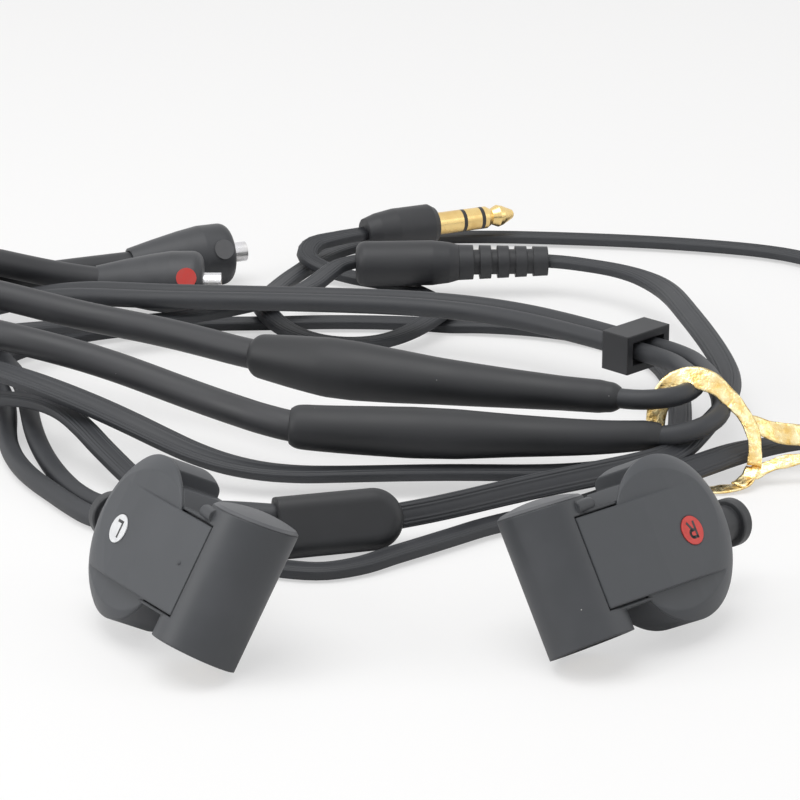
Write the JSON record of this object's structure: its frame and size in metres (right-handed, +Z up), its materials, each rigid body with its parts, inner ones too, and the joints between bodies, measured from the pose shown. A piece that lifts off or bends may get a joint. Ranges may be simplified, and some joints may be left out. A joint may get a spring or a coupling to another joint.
{
  "type": "wired earphones",
  "caption": "Wired in-ear earphones with upright round drums, strapped barrels and detachable cords, lying unplugged before their wound and tied cord with splitter, slider, joint and plug.",
  "frame": {"origin": "on the table, under the middle of the two earpieces", "axes": "+X from the left earpiece to the right one, +Y from the earpieces towards the wound cord, +Z up"},
  "size_m": [0.1523, 0.1751, 0.0202],
  "materials": {
    "housing_plastic": "satin painted",
    "cover_plastic": "satin painted",
    "cap_plastic": "satin",
    "nozzle_plastic": "satin",
    "screen_steel": "fine woven mesh",
    "driver_steel": "pressed",
    "gasket_rubber": "matt foam",
    "magnet_metal": "nickel plated",
    "coil_copper": "enamelled copper wire",
    "diaphragm_film": "thin film",
    "board_green": "solder mask",
    "contact_gold": "gold plated",
    "insulator_white": "moulded",
    "collar_nickel": "plated, turned",
    "boot_rubber": "satin",
    "hanger_rubber": "satin",
    "sleeve_rubber": "satin",
    "cord_rubber": "satin, fine lengthwise ribs on the main cord",
    "mark_white": "printed",
    "mark_red": "printed",
    "splitter_plastic": "fine grain",
    "slider_plastic": "satin",
    "tie_foil": "crinkled gold foil",
    "plug_rubber": "satin",
    "plug_insulator": "moulded"
  },
  "bodies": {
    "cable": {"main_cord": "cord_rubber", "cord_hank": "cord_rubber", "left_branch_cord": "cord_rubber", "right_branch_cord": "cord_rubber", "splitter_lower_shell": "splitter_plastic", "splitter_upper_shell": "splitter_plastic", "twist_tie": "tie_foil", "left_hanger": "hanger_rubber", "right_hanger": "hanger_rubber", "left_hanger_sleeve": "sleeve_rubber", "right_hanger_sleeve": "sleeve_rubber", "left_connector_boot": "boot_rubber", "right_connector_boot": "boot_rubber", "left_connector_collar": "collar_nickel", "right_connector_collar": "collar_nickel", "left_connector_insulator": "insulator_white", "right_connector_insulator": "insulator_white", "left_connector_pin": "contact_gold", "right_connector_pin": "contact_gold", "connector_marks": "mark_red", "joint_body": "plug_rubber", "joint_relief": "plug_rubber", "plug_body": "plug_rubber", "plug_tip": "contact_gold", "plug_ring": "contact_gold", "plug_sleeve": "contact_gold", "plug_insulators": "plug_insulator"},
    "slider": {"cord_slider": "slider_plastic"},
    "left_earpiece": {"left_rear_housing": "housing_plastic", "left_front_cover": "cover_plastic", "left_barrel_cap": "cap_plastic", "left_nozzle": "nozzle_plastic", "left_nozzle_screen": "screen_steel", "left_driver_frame": "driver_steel", "left_driver_gasket": "gasket_rubber", "left_magnet": "magnet_metal", "left_yoke": "driver_steel", "left_terminal_board": "board_green", "left_socket_shell": "contact_gold", "left_socket_insulator": "insulator_white", "left_socket_contact": "contact_gold", "left_side_mark": "mark_white"},
    "right_earpiece": {"right_rear_housing": "housing_plastic", "right_front_cover": "cover_plastic", "right_barrel_cap": "cap_plastic", "right_nozzle": "nozzle_plastic", "right_nozzle_screen": "screen_steel", "right_driver_frame": "driver_steel", "right_driver_gasket": "gasket_rubber", "right_magnet": "magnet_metal", "right_yoke": "driver_steel", "right_terminal_board": "board_green", "right_socket_shell": "contact_gold", "right_socket_insulator": "insulator_white", "right_socket_contact": "contact_gold", "right_side_mark": "mark_red"},
    "left_cone": {"left_voice_coil": "coil_copper", "left_diaphragm": "diaphragm_film"},
    "right_cone": {"right_voice_coil": "coil_copper", "right_diaphragm": "diaphragm_film"}
  },
  "joints": [
    {"name": "left_earpiece_lift", "type": "slide", "parent": "cable", "child": "left_earpiece", "axis": [0, 0, 1], "range_m": [0, 0.06]},
    {"name": "right_earpiece_lift", "type": "slide", "parent": "cable", "child": "right_earpiece", "axis": [0, 0, 1], "range_m": [0, 0.06]},
    {"name": "cord_slider_travel", "type": "slide", "parent": "cable", "child": "slider", "axis": [0.7071, -0.7071, 0], "range_m": [-0.004, 0.004]},
    {"name": "left_cone_travel", "type": "slide", "parent": "left_earpiece", "child": "left_cone", "axis": [-0.8118, -0.3664, 0.4547], "range_m": [-0.0002, 0.0002], "stiffness_N_per_m": 40},
    {"name": "right_cone_travel", "type": "slide", "parent": "right_earpiece", "child": "right_cone", "axis": [0.6903, -0.5444, 0.4766], "range_m": [-0.0002, 0.0002], "stiffness_N_per_m": 40}
  ]
}
